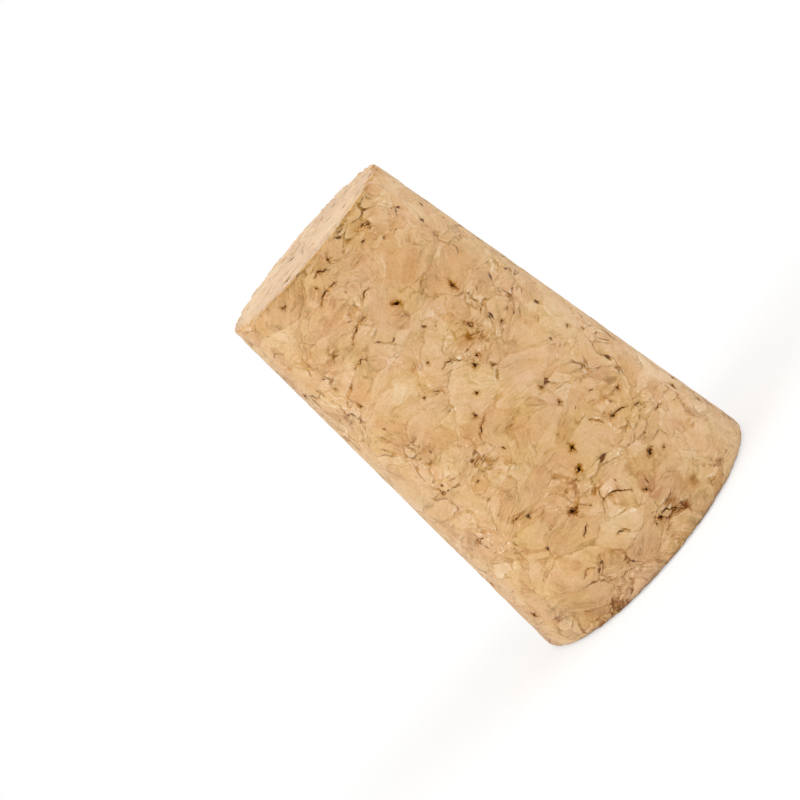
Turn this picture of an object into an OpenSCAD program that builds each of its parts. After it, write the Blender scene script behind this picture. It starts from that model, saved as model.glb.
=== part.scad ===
// Tapered stopper of agglomerated cork: granules of cork pressed together with a binder,
// turned to a plain taper, with the small open gaps, cracks and rim nicks of the material.
// Millimetres. It stands on its wide end: the origin is the middle of that end and +Z
// runs up the axis to the narrow end, which goes into the neck.

/* [Stopper] */
// Length from end to end
stopper_length = 38; // [25:0.5:60]
// Diameter at the wide end
wide_end_diameter = 24.8; // [20:0.1:40]
// Diameter at the narrow end
narrow_end_diameter = 18.2; // [12:0.1:19.8]
// Rounding of the wide end's rim
wide_rim_radius = 0.5; // [0.2:0.05:1.5]
// Rounding of the narrow end's rim
narrow_rim_radius = 0.3; // [0.1:0.05:1]

/* [Cork granules] */
// Size of a granule, which spaces the gaps and cracks where they follow no plan
granule_size = 4; // [3:0.25:8]
// Width of a full-size gap between granules
gap_width = 0.7; // [0.4:0.05:1.5]
// Depth of a full-size gap
gap_depth = 0.8; // [0.3:0.05:1.5]
// Length of a full-size crack along the edge of a granule
crack_length = 1.7; // [1:0.1:3]
// Opening of a crack at its middle
crack_width = 0.22; // [0.1:0.01:0.4]
// Depth of a crack
crack_depth = 0.3; // [0.2:0.05:1]
// Radius of the nick that a lost crumb leaves in a rim
nick_radius = 0.5; // [0.2:0.05:1]
// Number that picks another scatter of gaps and cracks
scatter_seed = 7; // [1:1:99]

/* [Hidden] */
$fn = 96;
cork_colour = [0.85, 0.69, 0.50];
wide_radius = wide_end_diameter / 2;
narrow_radius = narrow_end_diameter / 2;
side_lean = atan((wide_radius - narrow_radius) / stopper_length);

// Marks on the front of the side, in rows of the share of the length from the wide end, the
// bearing, the size, and the turn of the mark's long way from the upright.
side_gaps = [
    [0.08, 278, 0.8, 160], [0.11, 249, 0.5, 90], [0.14, 283, 0.7, 40], [0.16, 302, 0.6, 120],
    [0.18, 296, 0.9, 110], [0.23, 257, 1.0, 70], [0.28, 272, 1.0, 110], [0.29, 243, 0.6, 0],
    [0.29, 299, 0.8, 60], [0.31, 312, 0.7, 130], [0.32, 277, 0.9, 0], [0.36, 324, 0.9, 0],
    [0.40, 289, 0.6, 20], [0.42, 239, 0.5, 100], [0.45, 221, 0.7, 10], [0.45, 289, 0.7, 10],
    [0.47, 326, 0.7, 90], [0.52, 261, 0.6, 20], [0.55, 269, 0.6, 80], [0.56, 283, 0.5, 60],
    [0.59, 278, 0.7, 60], [0.60, 282, 0.6, 150], [0.60, 303, 0.6, 80], [0.65, 291, 0.6, 0],
    [0.67, 265, 0.5, 80], [0.71, 225, 0.7, 30], [0.73, 302, 0.9, 170], [0.77, 222, 0.5, 50],
    [0.80, 277, 0.9, 60], [0.95, 257, 0.5, 30], [0.95, 300, 0.8, 70], [0.97, 237, 0.6, 80],
    [0.97, 272, 0.5, 140]
];
side_cracks = [
    [0.07, 282, 1.1, 50], [0.08, 276, 0.6, 140], [0.11, 243, 1.0, 90], [0.12, 264, 0.7, 60],
    [0.18, 255, 0.7, 120], [0.18, 274, 1.6, 60], [0.21, 317, 0.8, 80], [0.25, 311, 0.9, 40],
    [0.28, 302, 1.3, 70], [0.30, 238, 0.7, 100], [0.31, 215, 1.2, 100], [0.31, 292, 0.9, 30],
    [0.49, 260, 1.4, 120], [0.61, 258, 0.6, 30], [0.63, 271, 1.0, 70], [0.77, 243, 1.0, 90],
    [0.82, 255, 1.6, 110], [0.86, 271, 0.7, 100], [0.92, 259, 1.4, 100], [0.95, 297, 1.0, 80],
    [0.96, 264, 0.8, 70]
];
// The rest of the side, away from the front, has its marks by chance, about a granule apart.
scatter_start = 335;
scatter_sweep = 230;
scatter_rows = floor(stopper_length / granule_size) - 1;
scatter_columns = floor(scatter_sweep / 360 * PI * (wide_radius + narrow_radius) / granule_size);
// How far a scattered place strays from the even grid, as a share of the spacing.
stray = 0.35;
// Chance that a place in the scatter has a mark, and that a mark is a gap and not a crack.
mark_chance = 0.55;
gap_chance = 0.6;
// The least size that chance gives, as a share of the full one.
smallest = 0.4;
// Places on the side and on each end are numbered from seeds far apart, so that each has chances
// of its own.
side_seed = 100;
wide_end_seed = 1000;
narrow_end_seed = 2000;
// A place has a seed for each thing that chance settles, beside a gap's corners and a crack's steps.
marked_seed = 101;
kind_seed = 102;
size_seed = 103;
turn_seed = 104;
height_seed = 105;
bearing_seed = 106;
// Steps between the seeds of two places, and between those of two things at one place.
place_step = 31;
thing_step = 1013;

// A gap's ragged outline has this many corners, every other one drawn in to this share of its reach.
gap_corners = 8;
gap_waist = 0.45;
// A gap is this much longer than it is wide.
gap_stretch = 1.5;
// A crack has this many steps along it, bows by this share of its length, and wanders by this
// many times its opening.
crack_steps = 6;
crack_bow = 0.08;
crack_wander = 1.2;
// Share of the end face's radius that its marks keep within, on a spiral of golden turns.
face_reach = 0.85;
golden_turn = 137.5;
// Bearings of the nicks in each rim.
narrow_rim_nicks = [243, 262, 291, 15, 80, 150];
wide_rim_nicks = [255, 310, 40, 120, 190];
// Share of a nick's radius that lies in the cork.
nick_bite = 0.5;

// Radius of the side at a height above the wide end.
function side_radius(height) = wide_radius - height * tan(side_lean);

// A number from 0 to 1 that is always the same for one thing at one place.
function chance(place, thing) =
    rands(0, 1, 1, scatter_seed + place_step * place + thing_step * thing)[0];

// A share of the full size by chance, from the smallest up to all of it.
function some(place, thing) = smallest + (1 - smallest) * chance(place, thing);

// Half section of the turned form, with both rims rounded to meet the face and the side.
module half_section() {
    wide_rim_x = wide_radius - wide_rim_radius * (tan(side_lean) + 1 / cos(side_lean));
    narrow_rim_z = stopper_length - narrow_rim_radius;
    narrow_rim_x = side_radius(narrow_rim_z) - narrow_rim_radius / cos(side_lean);
    side_normal = [cos(side_lean), sin(side_lean)];
    polygon([
        [0, 0],
        [wide_rim_x, 0],
        [wide_rim_x, wide_rim_radius] + wide_rim_radius * side_normal,
        [narrow_rim_x, narrow_rim_z] + narrow_rim_radius * side_normal,
        [narrow_rim_x, stopper_length],
        [0, stopper_length]
    ]);
    translate([wide_rim_x, wide_rim_radius]) circle(r = wide_rim_radius);
    translate([narrow_rim_x, narrow_rim_z]) circle(r = narrow_rim_radius);
}

// Where granules don't quite meet: a ragged hole, longer than it is wide.
module granule_gap(size, place) {
    outline = [
        for (corner = [0 : gap_corners - 1])
            let (
                turn = (corner + stray * (2 * chance(place, gap_corners + corner) - 1)) * 360 / gap_corners,
                reach = gap_width / 2 * size * (corner % 2 == 0 ? 1 : gap_waist) * some(place, corner)
            )
            reach * [gap_stretch * cos(turn), sin(turn)]
    ];
    linear_extrude(height = 2 * gap_depth * size, center = true) polygon(outline);
}

// A crack along the edge of a granule: a bent, ragged sliver that closes at both ends.
module crack(size, place) {
    function along(step) = (step / crack_steps - 0.5) * crack_length * size;
    // A crack is widest at its middle and closed at its ends.
    function open(step) = 1 - pow(2 * step / crack_steps - 1, 2);
    function bow(step) = crack_bow * crack_length * size + crack_wander * crack_width * chance(place, step);
    function edge(step, side) = open(step) * (bow(step) + side * crack_width / 2 * some(place, side * step));
    outline = concat(
        [for (step = [0 : crack_steps]) [along(step), edge(step, 1)]],
        [for (step = [crack_steps - 1 : -1 : 1]) [along(step), edge(step, -1)]]
    );
    linear_extrude(height = 2 * crack_depth, center = true) polygon(outline);
}

// Puts a shape on the side, with its own +Z pointing straight out of the surface.
module on_side(share, bearing) {
    height = share * stopper_length;
    rotate([0, 0, bearing])
        translate([side_radius(height), 0, height])
            rotate([0, 90 - side_lean, 0]) children();
}

module front_marks() {
    for (place = [0 : len(side_gaps) - 1]) {
        gap = side_gaps[place];
        on_side(gap[0], gap[1]) rotate([0, 0, gap[3]]) granule_gap(gap[2], place);
    }
    for (place = [0 : len(side_cracks) - 1]) {
        line = side_cracks[place];
        on_side(line[0], line[1]) rotate([0, 0, line[3]]) crack(line[2], place);
    }
}

// A gap or a crack of any size and turn.
module chance_mark(place) {
    size = some(place, size_seed);
    rotate([0, 0, 180 * chance(place, turn_seed)]) {
        if (chance(place, kind_seed) < gap_chance) granule_gap(size, place);
        else crack(size, place);
    }
}

module scattered_marks() {
    for (row = [1 : scatter_rows], column = [0 : scatter_columns - 1]) {
        place = side_seed + row * scatter_columns + column;
        share = (row + stray * (2 * chance(place, height_seed) - 1)) / (scatter_rows + 1);
        step = column + 0.5 * (row % 2) + stray * (2 * chance(place, bearing_seed) - 1);
        if (chance(place, marked_seed) < mark_chance)
            on_side(share, scatter_start + scatter_sweep * step / scatter_columns) chance_mark(place);
    }
}

// Marks as close together as on the side, spread evenly over an end face.
module face_marks(face_radius, height, first_place) {
    count = round(mark_chance * PI * pow(face_radius / granule_size, 2));
    for (step = [1 : count]) {
        rotate([0, 0, step * golden_turn])
            translate([face_reach * face_radius * sqrt((step - 0.5) / count), 0, height])
                chance_mark(first_place + step);
    }
}

module rim_nicks(bearings, rim_radius, height) {
    for (bearing = bearings) {
        size = nick_radius * some(bearing, size_seed);
        rotate([0, 0, bearing])
            translate([rim_radius + size * (1 - nick_bite), 0, height]) sphere(r = size);
    }
}

module stopper() {
    color(cork_colour)
        difference() {
            rotate_extrude() half_section();
            front_marks();
            scattered_marks();
            face_marks(wide_radius, 0, wide_end_seed);
            face_marks(narrow_radius, stopper_length, narrow_end_seed);
            rim_nicks(narrow_rim_nicks, narrow_radius, stopper_length);
            rim_nicks(wide_rim_nicks, wide_radius, 0);
        }
}

stopper();
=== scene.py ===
"""A tapered stopper of agglomerated cork, standing on its wide end on a white floor."""

import math

import bmesh
import bpy
from mathutils import Matrix, Vector
from mathutils.bvhtree import BVHTree


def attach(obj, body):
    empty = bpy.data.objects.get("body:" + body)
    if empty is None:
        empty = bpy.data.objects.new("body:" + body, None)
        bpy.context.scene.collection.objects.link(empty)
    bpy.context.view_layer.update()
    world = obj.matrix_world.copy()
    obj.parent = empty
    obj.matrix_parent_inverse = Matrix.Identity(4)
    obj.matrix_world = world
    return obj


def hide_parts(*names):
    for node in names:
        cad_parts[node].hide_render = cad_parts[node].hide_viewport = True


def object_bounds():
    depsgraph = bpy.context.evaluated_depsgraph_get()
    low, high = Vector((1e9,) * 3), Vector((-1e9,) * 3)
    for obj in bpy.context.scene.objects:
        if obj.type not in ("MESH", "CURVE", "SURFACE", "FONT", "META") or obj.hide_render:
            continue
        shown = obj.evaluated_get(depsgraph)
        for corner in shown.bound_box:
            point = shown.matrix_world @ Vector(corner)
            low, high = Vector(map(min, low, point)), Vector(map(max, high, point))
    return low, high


MM = 0.001

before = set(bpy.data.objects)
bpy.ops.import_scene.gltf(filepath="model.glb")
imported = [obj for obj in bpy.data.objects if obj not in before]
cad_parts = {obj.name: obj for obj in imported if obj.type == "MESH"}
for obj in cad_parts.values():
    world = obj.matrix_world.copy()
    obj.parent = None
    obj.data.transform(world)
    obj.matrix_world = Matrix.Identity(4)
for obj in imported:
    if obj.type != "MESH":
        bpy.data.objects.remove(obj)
cad_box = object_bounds()

# ---- The turned form, in millimetres, as the solid has it ----
LENGTH = cad_box[1].z / MM
WIDE_RADIUS = 12.4
NARROW_RADIUS = 9.1
WIDE_RIM = 0.5
NARROW_RIM = 0.3
SIDE_LEAN = math.atan((WIDE_RADIUS - NARROW_RADIUS) / LENGTH)
# The fine skin lies this far inside the turned form, as the solid's flat facets cut in nearly as far.
SKIN_INSET = 0.05
# Squares round the skin, up its side and over each rim: one about every 0.2 mm on the side.
AROUND = 360
UP_SIDE = 176
OVER_RIM = 5
# The skin is smooth but for edges sharper than this, which are those of the gaps.
SHARP_EDGE = 35
# Points of the skin's nets, or of the solid, that lie closer than this are one.
NET_WELD = 0.01
SOLID_WELD = 0.0001
# A face of the solid with its middle this deep in the cork is a gap's wall. Beside one as deep as the
# second the skin is marked in full, and beside a shallower one less.
WALL_DEPTH = 0.08
DEEP_WALL = 0.33

# ---- How a rod of pressed granules is built up, in millimetres ----
LARGE_GRANULE = 4.6
SMALL_GRANULE = 2.1
# Share of the large granules that broke into small ones in the press.
CRUMBLED = 0.65
# Pressing along the rod squeezes the granules to this share of their width.
PRESSED = 0.7
# How much fine detail a pattern has.
EVEN = 0.0
SMOOTH = 1.0
ROUGH = 2.0
# The press bent the granules whole, at their sides and at their torn edges: size, reach and detail.
BENDS = ((4.6, 4.4, EVEN), (1.5, 1.1, SMOOTH), (0.4, 0.2, SMOOTH))
# A year's layer of bark is drawn out this much along its own length.
LAYER_STRETCH = 3.3
# Independent patterns are read this far apart, so that no two are alike.
APART = 60.0
# Where the broad patterns are read, for where on the rod they are light, full of joints and rusty.
CLOUD_PLACE = (390, 252, 101)
BUSY_PLACE = (93, 385, 14)
BARKY_PLACE = (219, 197, 201)

# ---- Soft-edged patches by chance ----
# Each has its size in millimetres, its detail, and the noise where it starts and where it is full. Its
# place in the table says where its noise is read, unless it ends with a place of its own.
CHIPS = (0.8, ROUGH, 0.46, 0.66, (0, APART, 0))
RELIEF_PATCHES = {
    "worn": (1.7, SMOOTH, 0.42, 0.66),
    "hollow": (1.5, ROUGH, 0.35, 0.8),
    "chipped": CHIPS,
}
FINISH_PATCHES = {
    # Where a joint is wide, where it can be seen at all, and the dashes that it breaks into.
    "strong": (1.6, ROUGH, 0.50, 0.68),
    "shown": (1.3, SMOOTH, 0.42, 0.62),
    "dashed": (0.6, SMOOTH, 0.30, 0.60),
    # Where granules get painted shade at their edges, have crumbs of bark in them, or bark smeared over
    # them.
    "edge_shade_patch": (1.7, SMOOTH, 0.46, 0.70),
    "littered": (2.4, SMOOTH, 0.46, 0.60),
    "smudged": (2.2, SMOOTH, 0.38, 0.60),
    # Where growth lines show, straight or curled.
    "lined": (1.6, SMOOTH, 0.52, 0.66),
    "curled": (1.9, SMOOTH, 0.50, 0.66),
    # Where granules don't quite meet.
    "open_here": (1.3, SMOOTH, 0.62, 0.84),
    # Pieces of rust-brown outer bark, and the parts of the rod that are full of joints.
    "barky": (2.6, SMOOTH, 0.67, 0.77, BARKY_PLACE),
    "busy": (5.0, SMOOTH, 0.36, 0.62, BUSY_PLACE),
    "chipped": CHIPS,
}
# Where the cork is of a warmer colour than elsewhere, and of a fuller one.
COLOUR_PATCHES = {
    "warm": (2.6, SMOOTH, 0.3, 0.7),
    "rich": (3.6, SMOOTH, 0.3, 0.7),
}

# ---- What grinding left of the surface, in millimetres ----
# How much lower one granule lies than another, or its soft parts than its hard ones.
SETTLED = 0.03
# How deep a joint is worn, and how far from it the wear runs out.
WORN_JOINT = 0.05
WORN_WIDTH = (0.0, 0.45)
# Crumbs break out of the narrow rim as deep as this, and as far from it as this. The wide rim, which
# doesn't go into the neck, is worn by this share of it.
RIM_WEAR = 0.34
RIM_REACH = 1.1
WIDE_RIM_SHARE = 0.3
# The skin dips this much at a gap's edge, and is stained as far from it as this.
GAP_DIP = 0.08
GAP_REACH = 0.38
# How far each mark lowers the skin.
RELIEF = (
    ("granule", SETTLED),
    ("hollow", SETTLED),
    ("worn_joint", WORN_JOINT),
    ("chip", RIM_WEAR),
    ("gap", GAP_DIP),
)

# ---- Kinds of node with their settings, as add() takes them ----
PLUS = ("ShaderNodeMath", {"operation": "ADD"})
TIMES = ("ShaderNodeMath", {"operation": "MULTIPLY"})
TIMES_PLUS = ("ShaderNodeMath", {"operation": "MULTIPLY_ADD"})
RATIO = ("ShaderNodeMath", {"operation": "DIVIDE"})
SMALLER = ("ShaderNodeMath", {"operation": "MINIMUM"})
LARGER = ("ShaderNodeMath", {"operation": "MAXIMUM"})
IS_BELOW = ("ShaderNodeMath", {"operation": "LESS_THAN"})
TO_AND_FRO = ("ShaderNodeMath", {"operation": "PINGPONG"})
UNSIGNED = ("ShaderNodeMath", {"operation": "ABSOLUTE"})
SOFT_STEP = ("ShaderNodeMapRange", {"interpolation_type": "SMOOTHSTEP"})
MOVED = ("ShaderNodeVectorMath", {"operation": "ADD"})
MOVED_BACK = ("ShaderNodeVectorMath", {"operation": "SUBTRACT"})
STRETCHED = ("ShaderNodeVectorMath", {"operation": "MULTIPLY"})
STRETCHED_MOVED = ("ShaderNodeVectorMath", {"operation": "MULTIPLY_ADD"})
SCALED = ("ShaderNodeVectorMath", {"operation": "SCALE"})
WRAPPED = ("ShaderNodeVectorMath", {"operation": "FRACTION"})
DIRECTION = ("ShaderNodeVectorMath", {"operation": "NORMALIZE"})
FAR_ALONG = ("ShaderNodeVectorMath", {"operation": "DOT_PRODUCT"})
HOW_FAR = ("ShaderNodeVectorMath", {"operation": "LENGTH"})
EITHER = ("ShaderNodeMix", {"data_type": "FLOAT"})
EITHER_NAME = ("ShaderNodeMix", {"data_type": "VECTOR"})
EITHER_COLOUR = ("ShaderNodeMix", {"data_type": "RGBA"})
NOISE = ("ShaderNodeTexNoise", {})
CELLS = ("ShaderNodeTexVoronoi", {"feature": "F1"})
CELL_EDGES = ("ShaderNodeTexVoronoi", {"feature": "DISTANCE_TO_EDGE"})
PARTS = ("ShaderNodeSeparateXYZ", {})
OWN_PLACE = ("ShaderNodeTexCoord", {})
STORED = ("GeometryNodeInputNamedAttribute", {"data_type": "FLOAT"})
BY_A_GAP = ("ShaderNodeAttribute", {"attribute_name": "by_a_gap"})
BY_A_RIM = ("ShaderNodeAttribute", {"attribute_name": "by_a_rim"})
# A soft step rises from 0 to 1 between two values, and one that falls ends with this.
FALLING = (1.0, 0.0)
# The middle of a noise's or a granule's colour, and the middle between two lines that are 1 apart.
MIDDLE = (0.5, 0.5, 0.5)
HALF = 0.5
WHITE = (1.0, 1.0, 1.0, 1.0)


def linear(code):
    """The linear colour of an sRGB hex code, by the curve of the sRGB standard."""
    parts = [int(code[at : at + 2], 16) / 255 for at in (0, 2, 4)]
    return tuple(p / 12.92 if p <= 0.04045 else ((p + 0.055) / 1.055) ** 2.4 for p in parts) + (1.0,)


def add(tree, kind, settings, *values, **named):
    """Adds a node with its settings and fills its working inputs, in order or by name.

    A value is a number, a colour, an output, or another node, whose first working output is linked.
    """
    node = tree.nodes.new(kind)
    for name, setting in settings.items():
        setattr(node, name, setting)
    working = [socket for socket in node.inputs if socket.enabled]
    by_name = {socket.name.replace(" ", "_"): socket for socket in working}
    filled = list(zip(working, values)) + [(by_name[name], value) for name, value in named.items()]
    for socket, value in filled:
        if isinstance(value, bpy.types.Node):
            value = next(output for output in value.outputs if output.enabled)
        if isinstance(value, bpy.types.NodeSocket):
            tree.links.new(value, socket)
        else:
            socket.default_value = value
    return node


def put(name, data):
    """A new object in the scene."""
    made = bpy.data.objects.new(name, data)
    bpy.context.scene.collection.objects.link(made)
    return made


def empty_tree(owner):
    """The node tree of a new material or world, with nothing in it yet."""
    owner.use_nodes = True
    owner.node_tree.nodes.clear()
    return owner.node_tree


# ---- The mesh ----

def half_outline():
    """Points (radius, height) of the half section, from the wide rim's inner edge to the narrow rim's."""
    lean_cos, lean_tan = math.cos(SIDE_LEAN), math.tan(SIDE_LEAN)
    wide_x = WIDE_RADIUS - WIDE_RIM * (lean_tan + 1 / lean_cos)
    narrow_z = LENGTH - NARROW_RIM
    narrow_x = WIDE_RADIUS - narrow_z * lean_tan - NARROW_RIM / lean_cos
    rims = []
    for x, z, rim, start, end in (
        (wide_x, WIDE_RIM, WIDE_RIM, -math.pi / 2, SIDE_LEAN),
        (narrow_x, narrow_z, NARROW_RIM, SIDE_LEAN, math.pi / 2),
    ):
        turns = [start + (end - start) * step / OVER_RIM for step in range(OVER_RIM + 1)]
        skin = rim - SKIN_INSET
        rims.append([Vector((x + skin * math.cos(turn), z + skin * math.sin(turn))) for turn in turns])
    foot, head = rims[0][-1], rims[1][0]
    side = [foot.lerp(head, step / UP_SIDE) for step in range(1, UP_SIDE)]
    return rims[0] + side + rims[1]


def disc_net(rim_radius, height, first):
    """Points and squares of a round end, from a square net pushed out to the circle."""
    side = AROUND // 4
    points, number = [], {}
    for row in range(side + 1):
        for column in range(side + 1):
            x, y = 2 * column / side - 1, 2 * row / side - 1
            ring = max(abs(x), abs(y))
            # The bearing runs evenly along each edge of the square, to meet the points of the rim.
            if ring == 0:
                bearing = 0
            elif abs(x) >= abs(y):
                bearing = (y / x) * math.pi / 4 + (0 if x > 0 else math.pi)
            else:
                bearing = math.pi / 2 - (x / y) * math.pi / 4 + (0 if y > 0 else math.pi)
            number[row, column] = first + len(points)
            radius = rim_radius * ring
            points.append((radius * math.cos(bearing), radius * math.sin(bearing), height))
    squares = [
        (number[row, column], number[row, column + 1], number[row + 1, column + 1], number[row + 1, column])
        for row in range(side)
        for column in range(side)
    ]
    return points, squares


def fine_form():
    """The closed turned form as a fine even net."""
    outline = half_outline()
    turns = [2 * math.pi * step / AROUND for step in range(AROUND)]
    points = [
        (radius * math.cos(turn), radius * math.sin(turn), height)
        for radius, height in outline
        for turn in turns
    ]
    squares = []
    for row in range(len(outline) - 1):
        for step in range(AROUND):
            after = (step + 1) % AROUND
            low, high = row * AROUND, (row + 1) * AROUND
            squares.append((low + step, low + after, high + after, high + step))
    for radius, height in (outline[0], outline[-1]):
        more, faces = disc_net(radius, height, len(points))
        points += more
        squares += faces
    mesh = bpy.data.meshes.new("fine_form")
    mesh.from_pydata([Vector(point) * MM for point in points], [], squares)
    weld(mesh, NET_WELD)
    return mesh


def weld(mesh, near):
    """Welds points that lie this near, in millimetres, and turns every face outward."""
    work = bmesh.new()
    work.from_mesh(mesh)
    bmesh.ops.remove_doubles(work, verts=work.verts, dist=near * MM)
    bmesh.ops.recalc_face_normals(work, faces=work.faces)
    work.to_mesh(mesh)
    work.free()


def depth_in(point):
    """How deep a point lies in the cork, in millimetres."""
    radius, height = math.hypot(point.x, point.y) / MM, point.z / MM
    return min(WIDE_RADIUS - height * math.tan(SIDE_LEAN) - radius, height, LENGTH - height)


def mark_gaps(mesh, solid):
    """Marks each point by how near a gap of the solid is, from 0 to 1, and by less at a shallow one."""
    walls = [face for face in solid.polygons if depth_in(face.center) > WALL_DEPTH]
    tree = BVHTree.FromPolygons([point.co for point in solid.vertices], [face.vertices for face in walls])
    marks = mesh.attributes.get("by_a_gap") or mesh.attributes.new("by_a_gap", "FLOAT", "POINT")
    for point, mark in zip(mesh.vertices, marks.data):
        _, _, wall, away = tree.find_nearest(point.co, GAP_REACH * MM)
        if wall is not None:
            mark.value = (1 - away / (GAP_REACH * MM)) * min(1, depth_in(walls[wall].center) / DEEP_WALL)


def mark_rims(mesh):
    """Marks each point by how near it is to a rim, from 0 to 1."""
    marks = mesh.attributes.new("by_a_rim", "FLOAT", "POINT")
    for point, mark in zip(mesh.vertices, marks.data):
        radius, height = math.hypot(point.co.x, point.co.y) / MM, point.co.z / MM
        from_wide = math.hypot(WIDE_RADIUS - radius, height)
        from_narrow = math.hypot(NARROW_RADIUS - radius, LENGTH - height)
        mark.value = max(0, 1 - from_narrow / RIM_REACH, WIDE_RIM_SHARE * (1 - from_wide / RIM_REACH))


# ---- The pattern of the granules, read both by the fine skin's relief and by its finish ----

def pressed_granules(tree, place):
    """The granules at a place in millimetres: which one, how far to its edge, and where in its layers."""
    squeezed = add(tree, *STRETCHED, place, (1, 1, 1 / PRESSED))
    bent = squeezed
    for size, reach, detail in BENDS:
        waves = add(tree, *NOISE, squeezed, 1 / size, detail)
        push = add(tree, *MOVED_BACK, waves.outputs["Color"], MIDDLE)
        bent = add(tree, *STRETCHED_MOVED, push, (reach, reach, reach), bent)
    names, edges = [], []
    for size in (LARGE_GRANULE, SMALL_GRANULE):
        names.append(add(tree, *CELLS, bent, 1 / size).outputs["Color"])
        edges.append(add(tree, *TIMES, add(tree, *CELL_EDGES, bent, 1 / size), size))
    broken = add(tree, *IS_BELOW, add(tree, *PARTS, names[0]).outputs["Z"], CRUMBLED)
    both = add(tree, *WRAPPED, add(tree, *MOVED, *names))
    name = add(tree, *EITHER_NAME, broken, names[0], both)
    # In a granule that stayed whole, the edges of small ones don't count.
    edge = add(tree, *EITHER, broken, edges[0], add(tree, *SMALLER, *edges))
    # The bark's yearly layers cross each granule its own way.
    lie = add(tree, *DIRECTION, add(tree, *MOVED_BACK, name, MIDDLE))
    along = add(tree, *FAR_ALONG, bent, lie)
    drawn = add(tree, *SCALED, bent, 1 / LAYER_STRETCH)
    own = add(tree, *STRETCHED_MOVED, name, (APART, APART, APART), drawn)
    layered = add(tree, *MOVED, own, add(tree, *SCALED, lie, along))
    return {"name": name, "edge": edge, "layered": layered, "along": along}


def patches(tree, place, rows):
    """Soft-edged patches by name, each 0 outside and 1 inside."""
    made = {}
    for number, (name, (size, detail, start, full, *read_at)) in enumerate(rows.items(), 1):
        moved = add(tree, *MOVED, place, read_at[0] if read_at else (APART * number, 0, 0))
        made[name] = add(tree, *SOFT_STEP, add(tree, *NOISE, moved, 1 / size, detail), start, full)
    return made


def sum_of(tree, marks, shares, start):
    """A value that starts at a number and adds the named share of each mark."""
    total = start
    for name, share in shares:
        total = add(tree, *TIMES_PLUS, marks[name], share, total)
    return total


def settled_relief():
    """The relief of the ground surface: settled granules, worn joints, chipped rims, dips at the gaps."""
    tree = bpy.data.node_groups.new("settled_relief", "GeometryNodeTree")
    for way in ("INPUT", "OUTPUT"):
        tree.interface.new_socket("Geometry", in_out=way, socket_type="NodeSocketGeometry")
    skin = add(tree, "NodeGroupInput", {})
    place = add(tree, *SCALED, add(tree, "GeometryNodeInputPosition", {}), 1 / MM)
    cork = pressed_granules(tree, place)
    by_chance = patches(tree, place, RELIEF_PATCHES)
    joint = add(tree, *SOFT_STEP, cork["edge"], *WORN_WIDTH, *FALLING)
    rim = add(tree, *STORED, "by_a_rim")
    marks = {
        "granule": add(tree, *PARTS, cork["name"]).outputs["Y"],
        "hollow": by_chance["hollow"],
        "worn_joint": add(tree, *TIMES, joint, by_chance["worn"]),
        "chip": add(tree, *TIMES, rim, by_chance["chipped"]),
        "gap": add(tree, *STORED, "by_a_gap"),
    }
    depth = sum_of(tree, marks, RELIEF, 0.0)
    outward = add(tree, "GeometryNodeInputNormal", {})
    push = add(tree, *SCALED, outward, add(tree, *TIMES, depth, -MM))
    add(tree, "NodeGroupOutput", {}, add(tree, "GeometryNodeSetPosition", {}, skin, Offset=push))
    return tree


# ---- What shows in the ground surface, in millimetres where a comment says nothing else ----
# A joint is 0.15 to 0.4 mm of brown binder and crushed bark. This is half the width of a plain one, how
# much more it is in patches, and the shares of it between which the brown fades out.
JOINT_HALF_WIDTH = 0.10
JOINT_WIDER = (("dashed", 0.06), ("strong", 0.11))
JOINT_FADE = (0.3, 1.2)
# It strays up to half as far as this to either side of the granule's edge.
JOINT_STRAY = 0.22
# How plainly it shows in patches. The pairs are what a patch adds and what there is without it.
JOINT_SEEN = (("shown", 0.30), ("strong", 0.75))
JOINT_IN_DASHES = (0.55, 0.45)
JOINT_WHERE_BUSY = (0.85, 0.55)
# Pale torn cells, partly a painted highlight, form a lip beside it: how far off the edge the lip starts,
# and how far off it ends.
LIP_STARTS = (0.08, 0.18)
LIP_ENDS = (0.18, 0.42)
# The torn edges of joints, pores and gaps are this coarse.
TEAR = 0.25
# Pores lie where granules meet and little binder ran in. Their dark, and the stain round them, are dark
# cork and partly painted shade. This is how far they reach, how much their edges are torn and how soft they
# are, then how far their stain reaches and how open a place is that has one.
PORE_REACH = 0.38
PORE_TORN = 0.34
PORE_EDGE = (-0.05, 0.05)
STAIN_WIDTH = (0.0, 0.30)
STAIN_OPEN = (0.15, 0.6)
# Brown crust lies along an open gap, and a wider, weaker seam of binder round it, both partly painted shade
# that is fuller beside a deeper gap. This is how much their edges are torn, and how near the gap each
# starts and is full.
CRUST_TORN = 1.6
CRUST_NEAR = (1.20, 1.55)
SEAM_TORN = 0.9
SEAM_NEAR = (0.58, 0.90)
# Crumbs of bark and pale fibres are this wide, where their noise is this high, and this near to the
# edges of granules. There are more where the rod is busy.
CRUMB = 0.3
CRUMB_LEVEL = (0.58, 0.72)
CRUMB_NEAR = (0.1, 0.6)
CRUMBS_WHERE_BUSY = (0.7, 0.5)
# The grinding belt smeared bark along the layers, this wide, where the noise is this high.
SMEAR = 0.8
SMEAR_LEVEL = (0.54, 0.64)
# Shade is painted on granules this far in from their edges, more so where the rod is busy.
SHADE_WIDTH = (0.0, 0.7)
SHADE_WHERE_BUSY = (0.8, 0.5)
# The broad tones of the bark's layers, and the fine streaks in them.
LAYER = 1.4
STREAK = 0.32
# Growth lines are about 0.5 mm apart, as in slow-grown bark. They waver by up to this many lines over this
# size, fade out at this share of the way to the next one, and show in granules by their chance.
YEAR = 0.46
WAVER_SIZE = 1.3
WAVER = 3.4
LINE_WIDTH = (0.0, 0.32)
LINED_GRANULES = (0.45, 0.85)
# Where a granule was crushed they curl, with this many lines from a layer's darkest tone to its palest.
CURLS = 9.0
CURL_WIDTH = (0.0, 0.22)
CURLED_GRANULES = (0.6, 0.9)
# Cut cells are 0.03 mm across, too fine to show, so that the grain is drawn six times as coarse.
GRAIN = 0.18
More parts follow.
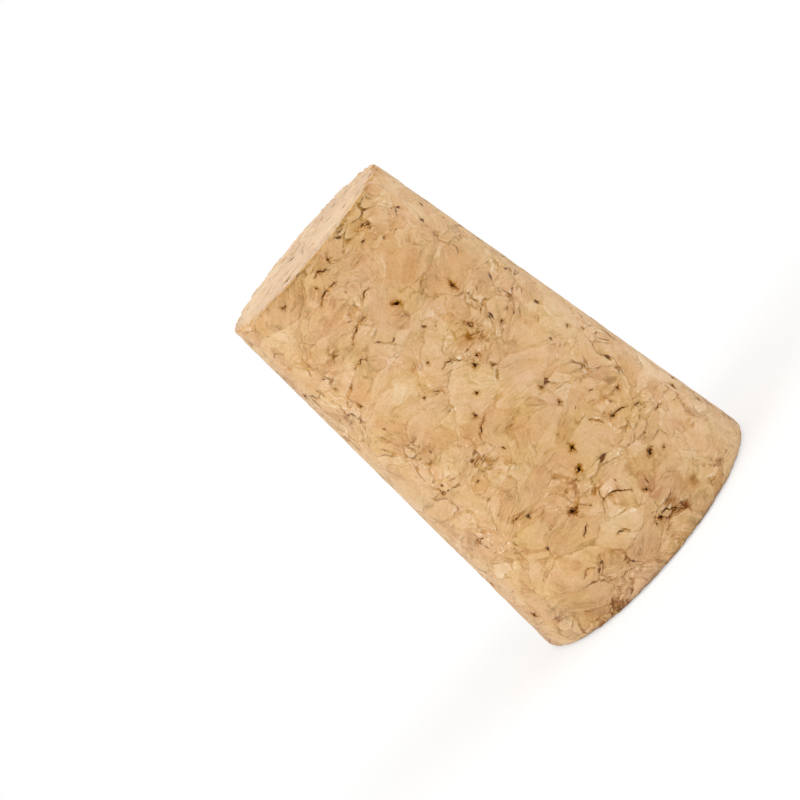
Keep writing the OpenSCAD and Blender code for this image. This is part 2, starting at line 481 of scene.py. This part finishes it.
# Stains within a granule are this wide, and the rod's lighter and darker parts this.
BLOTCH = 1.0
CLOUD = 7.0
# Rust-brown bark shows where its streaks are this high.
RUST_LEVEL = (0.40, 0.58)
# The side is a little darker and duller from the wide end up to this height.
LOW_DARKENING = (0.0, 7.0)
# The ends were ground finer than the side, so that joints and crumbs show less in them. Both end faces are
# also given painted shade, a little darker and fuller in colour. An end's face starts this far from the end
# and is full this far from it.
FACE_STARTS = 0.4
FACE_FULL = 0.1
LESS_ON_FACE = (-0.6, 1.0)


def joint_marks(tree, edge, tear, by_chance):
    """Joints between granules, plain in places and lost in others, and lips beside them, partly painted
    highlight.
    """
    half_width = sum_of(tree, by_chance, JOINT_WIDER, JOINT_HALF_WIDTH)
    seen = sum_of(tree, by_chance, JOINT_SEEN, 0.0)
    seen = add(tree, *TIMES, seen, add(tree, *TIMES_PLUS, by_chance["dashed"], *JOINT_IN_DASHES))
    seen = add(tree, *TIMES, seen, add(tree, *TIMES_PLUS, by_chance["busy"], *JOINT_WHERE_BUSY))
    ragged = add(tree, *TIMES_PLUS, tear, JOINT_STRAY, add(tree, *PLUS, edge, -JOINT_STRAY / 2))
    joint = add(tree, *SOFT_STEP, add(tree, *RATIO, ragged, half_width), *JOINT_FADE, *FALLING)
    # The lip is pale torn cells and partly a painted highlight beside each joint.
    inner = add(tree, *SOFT_STEP, edge, *LIP_STARTS)
    outer = add(tree, *SOFT_STEP, edge, *LIP_ENDS, *FALLING)
    return {
        "joint": add(tree, *TIMES, joint, seen),
        "lip": add(tree, *TIMES, add(tree, *TIMES, inner, outer), seen),
    }


def gap_marks(tree, edge, tear, by_chance):
    """Pores and their stains, and the crust and the seam round each gap, all partly painted shade."""
    torn = add(tree, *TIMES_PLUS, tear, PORE_TORN, edge)
    # Pores are dark cork and partly painted shade, as is the stain round them.
    off_pore = add(tree, *TIMES_PLUS, by_chance["open_here"], -PORE_REACH, torn)
    stain = add(tree, *SOFT_STEP, off_pore, *STAIN_WIDTH, *FALLING)
    gap = add(tree, *BY_A_GAP).outputs["Fac"]
    return {
        "pore": add(tree, *SOFT_STEP, off_pore, *PORE_EDGE, *FALLING),
        "stain": add(tree, *TIMES, stain, add(tree, *SOFT_STEP, by_chance["open_here"], *STAIN_OPEN)),
        # Crust and seam darken the skin beside each gap, partly as painted shade, fuller beside a deeper
        # gap.
        "crust": add(tree, *SOFT_STEP, add(tree, *TIMES_PLUS, tear, CRUST_TORN, gap), *CRUST_NEAR),
        "seam": add(tree, *SOFT_STEP, add(tree, *TIMES_PLUS, tear, SEAM_TORN, gap), *SEAM_NEAR),
    }


def bark_marks(tree, cork, by_chance):
    """Crumbs, fibres and smears of bark along the layers, and painted shade toward granules' edges."""
    layered, busy = cork["layered"], by_chance["busy"]
    near_edge = add(tree, *SOFT_STEP, cork["edge"], *CRUMB_NEAR, *FALLING)
    crumb = add(tree, *SOFT_STEP, add(tree, *NOISE, layered, 1 / CRUMB, SMOOTH), *CRUMB_LEVEL)
    crumb = add(tree, *TIMES, crumb, add(tree, *TIMES, near_edge, by_chance["littered"]))
    fibre = add(tree, *NOISE, add(tree, *MOVED, layered, (APART, APART, 0)), 1 / CRUMB, SMOOTH)
    fibre = add(tree, *SOFT_STEP, fibre, *CRUMB_LEVEL)
    smudge = add(tree, *NOISE, add(tree, *MOVED, layered, (0, APART, APART)), 1 / SMEAR, ROUGH)
    smudge = add(tree, *SOFT_STEP, smudge, *SMEAR_LEVEL)
    # Painted shade: each granule darkens toward its edges.
    shade = add(tree, *SOFT_STEP, cork["edge"], *SHADE_WIDTH, *FALLING)
    shade = add(tree, *TIMES, shade, by_chance["edge_shade_patch"])
    return {
        "crumb": add(tree, *TIMES, crumb, add(tree, *TIMES_PLUS, busy, *CRUMBS_WHERE_BUSY)),
        "fibre": add(tree, *TIMES, fibre, add(tree, *TIMES, near_edge, busy)),
        "smudge": add(tree, *TIMES, smudge, by_chance["smudged"]),
        "shade": add(tree, *TIMES, shade, add(tree, *TIMES_PLUS, busy, *SHADE_WHERE_BUSY)),
    }


def growth_marks(tree, place, cork, layer, by_chance):
    """The lines of the bark's years, straight in some granules and curled in others."""
    chances = add(tree, *PARTS, cork["name"])
    waver = add(tree, *NOISE, place, 1 / WAVER_SIZE, SMOOTH)
    years = add(tree, *TIMES_PLUS, waver, WAVER, add(tree, *TIMES, cork["along"], 1 / YEAR))
    growth = add(tree, *SOFT_STEP, add(tree, *TO_AND_FRO, years, HALF), *LINE_WIDTH, *FALLING)
    lined = add(tree, *SOFT_STEP, chances.outputs["Y"], *LINED_GRANULES)
    curl = add(tree, *TO_AND_FRO, add(tree, *TIMES, layer, CURLS), HALF)
    curl = add(tree, *SOFT_STEP, curl, *CURL_WIDTH, *FALLING)
    curled = add(tree, *SOFT_STEP, chances.outputs["Z"], *CURLED_GRANULES)
    return {
        "growth": add(tree, *TIMES, growth, add(tree, *TIMES, by_chance["lined"], lined)),
        "curl": add(tree, *TIMES, curl, add(tree, *TIMES, by_chance["curled"], curled)),
    }


def cork_marks(tree, place):
    """All that shows of the granules at a place in millimetres, each mark from 0 to 1."""
    cork = pressed_granules(tree, place)
    by_chance = patches(tree, place, FINISH_PATCHES)
    tear = add(tree, *NOISE, place, 1 / TEAR, ROUGH)
    layer = add(tree, *NOISE, cork["layered"], 1 / LAYER, SMOOTH)
    streak = add(tree, *NOISE, cork["layered"], 1 / STREAK, ROUGH)
    height = add(tree, *PARTS, place).outputs["Z"]
    off_middle = add(tree, *UNSIGNED, add(tree, *PLUS, height, -LENGTH / 2))
    end = add(tree, *SOFT_STEP, off_middle, LENGTH / 2 - FACE_STARTS, LENGTH / 2 - FACE_FULL)
    rusty = add(tree, *SOFT_STEP, streak, *RUST_LEVEL)
    marks = {
        "granule": add(tree, *PARTS, cork["name"]).outputs["X"],
        "layer": layer,
        "streak": streak,
        "grain": add(tree, *NOISE, place, 1 / GRAIN, SMOOTH),
        "blotch": add(tree, *NOISE, place, 1 / BLOTCH, ROUGH),
        "cloud": add(tree, *NOISE, add(tree, *MOVED, place, CLOUD_PLACE), 1 / CLOUD, SMOOTH),
        "rust": add(tree, *TIMES, by_chance["barky"], rusty),
        "chip": add(tree, *TIMES, add(tree, *BY_A_RIM).outputs["Fac"], by_chance["chipped"]),
        # Darker and duller toward the wide end.
        "low_darkening": add(tree, *SOFT_STEP, height, *LOW_DARKENING, *FALLING),
        # The end faces, where joints show less and painted shade makes the cork darker.
        "end": end,
    }
    marks.update(joint_marks(tree, cork["edge"], tear, by_chance))
    marks.update(gap_marks(tree, cork["edge"], tear, by_chance))
    marks.update(bark_marks(tree, cork, by_chance))
    marks.update(growth_marks(tree, place, cork, layer, by_chance))
    # The colour is fuller where the crust and its painted shade are thick.
    marks["thick_crust"] = add(tree, *TIMES, marks["crust"], marks["crust"])
    kept = add(tree, *TIMES_PLUS, end, *LESS_ON_FACE)
    for name in ("joint", "crumb"):
        marks[name] = add(tree, *TIMES, marks[name], kept)
    return marks


# ---- The finish ----
# How much each mark lightens the cork, as a share of its colour scale, from a plain tone. The tones run
# from 0 to 1 about a middle of a half, and the marks are 0 over most of the surface.
PLAIN_TONE = 0.625
TONES = (
    ("granule", 0.16),
    ("layer", 0.26),
    ("streak", 0.22),
    ("grain", 0.26),
    ("blotch", 0.21),
    ("cloud", 0.36),
)
MARKS = (
    # Painted shade toward the granules' edges.
    ("shade", -0.10),
    ("smudge", -0.17),
    ("growth", -0.08),
    ("curl", -0.10),
    ("joint", -0.28),
    # Pale torn cells beside the joints, partly a painted highlight.
    ("lip", 0.22),
    # The stain round a pore, partly painted shade.
    ("stain", -0.14),
    ("crumb", -0.26),
    # An open pore's dark, partly painted shade.
    ("pore", -0.42),
    # Crust beside a gap, partly painted shade.
    ("crust", -0.19),
    ("fibre", 0.27),
    # The seam round a gap, partly painted shade.
    ("seam", -0.17),
    # Painted shade on both end faces.
    ("end", -0.12),
    ("chip", 0.05),
    # Darker toward the wide end.
    ("low_darkening", -0.10),
)
# From the dark crust of the bark to its palest young layers, with each one's place on the scale.
CORK_COLOURS = (
    ("6E3C08", 0.0),
    ("986226", 0.16),
    ("C4965D", 0.4),
    ("D9AE79", 0.6),
    ("E6C298", 0.8),
    ("F8E4C4", 1.0),
)
# How much each mark turns the hue from the plain one: redder below 0, and yellower above it.
PLAIN_HUE = 0.5005
HUES = (("granule", 0.004), ("warm", -0.008), ("smudge", 0.006))
# How strong the colour is, as a share of what is written, and how much each mark adds to that.
PLAIN_STRENGTH = 0.938
STRENGTHS = (
    ("rich", 0.08),
    ("blotch", 0.05),
    # The end faces' painted shade is fuller in colour.
    ("end", 0.10),
    ("joint", 0.04),
    ("smudge", -0.06),
    # Duller toward the wide end.
    ("low_darkening", -0.06),
    # Fuller colour where the crust and its painted shade are thick.
    ("thick_crust", 0.12),
)
# Rust-brown bark takes the cork's colour this far toward its own.
RUST = "AF6C38"
RUST_SHARE = 0.5
# How far each mark stands above the surface, in millimetres.
HEIGHTS = (
    ("pore", -0.10),
    ("joint", -0.07),
    ("lip", 0.04),
    ("growth", -0.02),
    ("curl", -0.02),
    ("crumb", -0.04),
    ("grain", 0.03),
    ("blotch", 0.10),
    ("shade", -0.04),
)
# Cut cells have no gloss, and their fine fuzz lightens the surface where it turns away.
CUT_CORK = {"Roughness": 0.95, "Specular_IOR_Level": 0.05, "Sheen_Weight": 0.52, "Sheen_Roughness": 0.5}
FUZZ = "FFF8EC"
# The binder is amber at a gap's lip, with painted shade turning it dark brown below. This is how much the
# edge between them is torn, how near the gap's floor it starts and is full, and how high the binder's lumps
# are in millimetres.
GAP_LIP = "F2C684"
SHADED_GAP_FLOOR = "7A4A1C"
FLOOR_TORN = 0.9
FLOOR_NEAR = (0.9, 1.2)
BINDER_LUMPS = 0.1
# It is dull, with no fuzz.
SET_BINDER = {"Roughness": 0.95, "Specular_IOR_Level": 0.0}


def cork_material():
    """Agglomerated cork, pressed, ground and left unsealed.

    To the eye it is matt and a little velvety. Each granule has a tone and a lie of its own, with brown
    joints between them.
    """
    material = bpy.data.materials.new("agglomerated_cork")
    tree = empty_tree(material)
    place = add(tree, *SCALED, add(tree, *OWN_PLACE).outputs["Object"], 1 / MM)
    marks = cork_marks(tree, place)
    marks.update(patches(tree, place, COLOUR_PATCHES))
    # Half of each tone is taken off first, so that together they leave the plain tone in the middle.
    tone = sum_of(tree, marks, TONES + MARKS, PLAIN_TONE - sum(share for _, share in TONES) / 2)
    scale = add(tree, "ShaderNodeValToRGB", {}, tone)
    for _, at in CORK_COLOURS[1:-1]:
        scale.color_ramp.elements.new(at)
    for element, (code, _) in zip(scale.color_ramp.elements, CORK_COLOURS):
        element.color = linear(code)
    hue = sum_of(tree, marks, HUES, PLAIN_HUE)
    strength = sum_of(tree, marks, STRENGTHS, PLAIN_STRENGTH)
    varied = add(tree, "ShaderNodeHueSaturation", {}, hue, strength, Color=scale.outputs["Color"])
    tinted = add(tree, *EITHER_COLOUR, add(tree, *TIMES, marks["rust"], RUST_SHARE), varied, linear(RUST))
    bump = add(tree, "ShaderNodeBump", {}, Height=sum_of(tree, marks, HEIGHTS, 0.0), Distance=MM)
    look = {"Base_Color": tinted, "Normal": bump, "Sheen_Tint": linear(FUZZ)}
    skin = add(tree, "ShaderNodeBsdfPrincipled", {}, **look, **CUT_CORK)
    add(tree, "ShaderNodeOutputMaterial", {}, skin)
    return material


def crust_and_shade_material():
    """Polyurethane binder, set on the walls of the open gaps and never ground.

    To the eye it is a dull brown crust with shade painted darker toward the gap's floor, and none of the
    ground cork's velvet.
    """
    material = bpy.data.materials.new("binder_crust")
    tree = empty_tree(material)
    place = add(tree, *SCALED, add(tree, *OWN_PLACE).outputs["Object"], 1 / MM)
    tear = add(tree, *NOISE, place, 1 / TEAR, ROUGH)
    deep = add(tree, *TIMES_PLUS, tear, FLOOR_TORN, add(tree, *BY_A_GAP).outputs["Fac"])
    # Painted shade: the binder darkens toward the gap's floor.
    floor_shade = add(tree, *SOFT_STEP, deep, *FLOOR_NEAR)
    brown = add(tree, *EITHER_COLOUR, floor_shade, linear(GAP_LIP), linear(SHADED_GAP_FLOOR))
    bump = add(tree, "ShaderNodeBump", {}, Height=add(tree, *TIMES, tear, BINDER_LUMPS), Distance=MM)
    skin = add(tree, "ShaderNodeBsdfPrincipled", {}, Base_Color=brown, Normal=bump, **SET_BINDER)
    add(tree, "ShaderNodeOutputMaterial", {}, skin)
    return material


def stopper_piece(cork, crust):
    """The stopper's fine skin of cork, cut by the gaps of the solid, whose walls are crust."""
    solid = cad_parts["stopper"].data.copy()
    weld(solid, SOLID_WELD)
    form = fine_form()
    for mesh, number in ((form, 0), (solid, 1)):
        mesh.materials.clear()
        mesh.materials.append(cork)
        mesh.materials.append(crust)
        mesh.polygons.foreach_set("material_index", [number] * len(mesh.polygons))
    mark_gaps(form, solid)
    mark_rims(form)
    piece = put("stopper_cork", form)
    cutter = put("cutter", solid)
    relief = piece.modifiers.new("relief", "NODES")
    relief.node_group = settled_relief()
    cut = piece.modifiers.new("gaps", "BOOLEAN")
    cut.operation = "INTERSECT"
    cut.solver = "MANIFOLD"
    cut.object = cutter
    skin = bpy.data.meshes.new_from_object(piece.evaluated_get(bpy.context.evaluated_depsgraph_get()))
    # What was worked out is now the piece's own mesh, whose points along the gaps are marked anew.
    piece.modifiers.clear()
    piece.data = skin
    mark_gaps(skin, solid)
    bpy.data.objects.remove(cutter)
    skin.shade_smooth()
    skin.set_sharp_from_angle(angle=math.radians(SHARP_EDGE))
    return piece


# ---- The studio, in metres ----
FLOOR_RADIUS = 1.2
FLOOR_CORNERS = 96
# The paper is plain round the stopper and fades to pure white between these distances.
PAPER_FADE = (0.05, 0.2)
PAPER_GREY = (0.5, 0.5, 0.5, 1.0)
PAPER_GLOW = 0.55
# As a background the room is pure white, and as a light it is dimmer.
PURE_WHITE = 1.0
ROOM_LIGHT = 0.71
# Soft lamps: strength, spread, height and bearing in degrees, the bearing from the camera to the right.
LAMPS = {"left": (2.12, 50, 11, -68), "right": (1.6, 50, 14, 66)}


def white_room():
    """A white surround, a little dimmer as a light than it looks."""
    world = bpy.data.worlds.new("white_room")
    bpy.context.scene.world = world
    tree = empty_tree(world)
    rays = add(tree, "ShaderNodeLightPath", {})
    mirrored = add(tree, *LARGER, rays.outputs["Is Glossy Ray"], rays.outputs["Is Transmission Ray"])
    seen = add(tree, *LARGER, rays.outputs["Is Camera Ray"], mirrored)
    strength = add(tree, *EITHER, seen, ROOM_LIGHT, PURE_WHITE)
    add(tree, "ShaderNodeOutputWorld", {}, add(tree, "ShaderNodeBackground", {}, WHITE, strength))


def paper_floor():
    """Matt white paper that keeps the stopper's shadow and runs out into white."""
    mesh = bpy.data.meshes.new("floor")
    work = bmesh.new()
    bmesh.ops.create_circle(work, cap_ends=True, segments=FLOOR_CORNERS, radius=FLOOR_RADIUS)
    work.to_mesh(mesh)
    work.free()
    floor = put("floor", mesh)
    paper = bpy.data.materials.new("white_paper")
    tree = empty_tree(paper)
    camera_ray = add(tree, "ShaderNodeLightPath", {}).outputs["Is Camera Ray"]
    matt = add(tree, "ShaderNodeBsdfDiffuse", {}, PAPER_GREY)
    glow = add(tree, "ShaderNodeEmission", {}, Strength=add(tree, *TIMES, camera_ray, PAPER_GLOW))
    near = add(tree, "ShaderNodeAddShader", {}, matt, glow)
    away = add(tree, *HOW_FAR, add(tree, *OWN_PLACE).outputs["Object"])
    fade = add(tree, *TIMES, add(tree, *SOFT_STEP, away, *PAPER_FADE), camera_ray)
    white = add(tree, "ShaderNodeEmission", {}, Strength=PURE_WHITE)
    add(tree, "ShaderNodeOutputMaterial", {}, add(tree, "ShaderNodeMixShader", {}, fade, near, white))
    mesh.materials.append(paper)


def lamps():
    """Two large soft lamps, as suns, to the left and right of the camera."""
    for name, (strength, spread, height, bearing) in LAMPS.items():
        data = bpy.data.lights.new(name, "SUN")
        data.energy = strength
        data.angle = math.radians(spread)
        lamp = put(name, data)
        up, round_to = math.radians(height), math.radians(bearing)
        level = math.cos(up)
        toward = Vector((math.sin(round_to) * level, -math.cos(round_to) * level, math.sin(up)))
        lamp.rotation_mode = "QUATERNION"
        lamp.rotation_quaternion = toward.to_track_quat("Z", "Y")


# ---- The camera, in millimetres and degrees ----
VIEW_DISTANCE = 268.2
VIEW_ELEVATION = 9.63
VIEW_ROLL = 50.09
# The stopper's middle lies this far right of and above the middle of the view, at its own distance.
OFF_CENTRE = (6.385, 0.652)
SENSOR = 36
# The lens, for a view this many pixels wide.
FOCAL_PIXELS = 3209
VIEW_PIXELS = 800
# What is nearer or farther than this, in metres, isn't seen.
SEEN_FROM = 0.01
SEEN_TO = 10


def camera():
    """A long lens, held on its side, so that the upright stopper leans across the view."""
    elevation, roll = math.radians(VIEW_ELEVATION), math.radians(VIEW_ROLL)
    ahead = Vector((0, math.cos(elevation), -math.sin(elevation)))
    level_right = Vector((1, 0, 0))
    level_up = level_right.cross(ahead)
    right = level_right * math.cos(roll) - level_up * math.sin(roll)
    up = right.cross(ahead)
    middle = Vector((0, 0, LENGTH / 2))
    place = middle - ahead * VIEW_DISTANCE - right * OFF_CENTRE[0] - up * OFF_CENTRE[1]
    data = bpy.data.cameras.new("camera")
    data.sensor_width = SENSOR
    data.lens = SENSOR * FOCAL_PIXELS / VIEW_PIXELS
    data.clip_start = SEEN_FROM
    data.clip_end = SEEN_TO
    made = put("camera", data)
    made.matrix_world = Matrix.Translation(place * MM) @ Matrix((right, up, -ahead)).transposed().to_4x4()
    bpy.context.scene.camera = made


camera()
white_room()
paper_floor()
lamps()
bpy.context.scene.view_settings.view_transform = "Standard"
stopper = stopper_piece(cork_material(), crust_and_shade_material())
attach(stopper, "root")
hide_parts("stopper")
